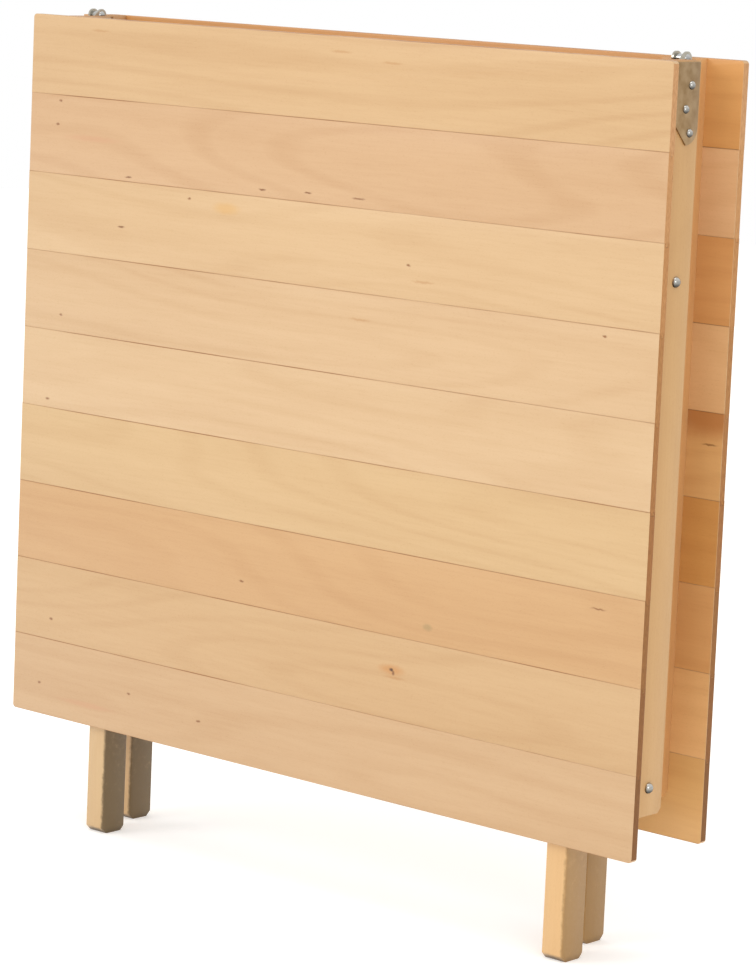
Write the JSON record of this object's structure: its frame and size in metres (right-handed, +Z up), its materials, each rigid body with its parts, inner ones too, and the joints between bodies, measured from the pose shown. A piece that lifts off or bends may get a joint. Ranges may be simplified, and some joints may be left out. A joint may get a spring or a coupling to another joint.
{
  "type": "folding table",
  "caption": "Folding table of two plank leaves hinged edge to edge, with swinging leg frames and hooked stays, stood up folded on its feet.",
  "frame": {"origin": "on the floor below the middle of the folded table", "axes": "+X along the planks and the hinge, +Y from the front leaf to the rear leaf, +Z up from the feet to the hinge"},
  "size_m": [0.9, 0.126, 0.9335],
  "materials": {
    "beech_plank_front": "satin lacquered beech, pale",
    "beech_plank_rear": "satin lacquered beech",
    "beech_batten": "satin lacquered beech",
    "beech_leg": "satin lacquered beech, eased edges",
    "zinc_plate": "dull zinc-plated steel plate",
    "bright_steel": "bright zinc-plated steel, domed and turned",
    "zinc_screw": "zinc-plated screw"
  },
  "bodies": {
    "front_half": {"front_batten_left": "beech_batten", "front_batten_right": "beech_batten", "front_cap_nut": "bright_steel", "front_cover_plates": "zinc_plate", "front_eye_plate_left": "zinc_plate", "front_eye_plate_right": "zinc_plate", "front_hinge_rivets": "bright_steel", "front_pivot_rod": "bright_steel", "front_plank_1": "beech_plank_front", "front_plank_2": "beech_plank_front", "front_plank_3": "beech_plank_front", "front_plank_4": "beech_plank_front", "front_plank_5": "beech_plank_front", "front_plank_6": "beech_plank_front", "front_plank_7": "beech_plank_front", "front_plank_8": "beech_plank_front", "front_plank_9": "beech_plank_front", "front_plank_screws": "zinc_screw", "front_spacers": "bright_steel", "front_stay_bolts": "bright_steel", "front_stay_nuts": "bright_steel", "hinge_pin_left": "bright_steel", "hinge_pin_right": "bright_steel", "hinge_sleeves": "bright_steel"},
    "rear_half": {"rear_batten_left": "beech_batten", "rear_batten_right": "beech_batten", "rear_cap_nut": "bright_steel", "rear_cover_plates": "zinc_plate", "rear_eye_plate_left": "zinc_plate", "rear_eye_plate_right": "zinc_plate", "rear_hinge_rivets": "bright_steel", "rear_pivot_rod": "bright_steel", "rear_plank_1": "beech_plank_rear", "rear_plank_2": "beech_plank_rear", "rear_plank_3": "beech_plank_rear", "rear_plank_4": "beech_plank_rear", "rear_plank_5": "beech_plank_rear", "rear_plank_6": "beech_plank_rear", "rear_plank_7": "beech_plank_rear", "rear_plank_8": "beech_plank_rear", "rear_plank_9": "beech_plank_rear", "rear_plank_screws": "zinc_screw", "rear_spacers": "bright_steel", "rear_stay_bolts": "bright_steel", "rear_stay_nuts": "bright_steel"},
    "front_leg_frame": {"front_leg_left": "beech_leg", "front_leg_pegs": "bright_steel", "front_leg_right": "beech_leg", "front_stretcher_lower": "beech_leg", "front_stretcher_upper": "beech_leg"},
    "rear_leg_frame": {"rear_leg_left": "beech_leg", "rear_leg_pegs": "bright_steel", "rear_leg_right": "beech_leg", "rear_stretcher_lower": "beech_leg", "rear_stretcher_upper": "beech_leg"},
    "front_stay_right": {"front_stay_right": "zinc_plate"},
    "front_stay_left": {"front_stay_left": "zinc_plate"},
    "rear_stay_right": {"rear_stay_right": "zinc_plate"},
    "rear_stay_left": {"rear_stay_left": "zinc_plate"}
  },
  "joints": [
    {"name": "leaf_fold", "type": "hinge", "parent": "front_half", "child": "rear_half", "pos_m": [0, 0, 0.9265], "axis": [1, 0, 0], "range_deg": [0, 180]},
    {"name": "front_legs_swing", "type": "hinge", "parent": "front_half", "child": "front_leg_frame", "pos_m": [0.0135, -0.033, 0.708], "axis": [1, 0, 0], "range_deg": [0, 78]},
    {"name": "rear_legs_swing", "type": "hinge", "parent": "rear_half", "child": "rear_leg_frame", "pos_m": [-0.0135, 0.033, 0.708], "axis": [-1, 0, 0], "range_deg": [0, 78]},
    {"name": "front_stay_right_swing", "type": "hinge", "parent": "front_half", "child": "front_stay_right", "pos_m": [0.36785, -0.033, 0.197], "axis": [-1, 0, 0], "range_deg": [0, 31.74]},
    {"name": "front_stay_left_swing", "type": "hinge", "parent": "front_half", "child": "front_stay_left", "pos_m": [-0.34085, -0.033, 0.197], "axis": [-1, 0, 0], "range_deg": [0, 31.74]},
    {"name": "rear_stay_left_swing", "type": "hinge", "parent": "rear_half", "child": "rear_stay_left", "pos_m": [-0.36785, 0.033, 0.197], "axis": [1, 0, 0], "range_deg": [0, 31.74]},
    {"name": "rear_stay_right_swing", "type": "hinge", "parent": "rear_half", "child": "rear_stay_right", "pos_m": [0.34085, 0.033, 0.197], "axis": [1, 0, 0], "range_deg": [0, 31.74]}
  ],
  "couplings": [
    {"joint": "front_legs_swing", "follows": "leaf_fold", "ratio": 0.43333},
    {"joint": "rear_legs_swing", "follows": "leaf_fold", "ratio": 0.43333},
    {"joint": "front_stay_right_swing", "follows": "leaf_fold", "ratio": 0.17634},
    {"joint": "front_stay_left_swing", "follows": "leaf_fold", "ratio": 0.17634},
    {"joint": "rear_stay_left_swing", "follows": "leaf_fold", "ratio": 0.17634},
    {"joint": "rear_stay_right_swing", "follows": "leaf_fold", "ratio": 0.17634}
  ]
}
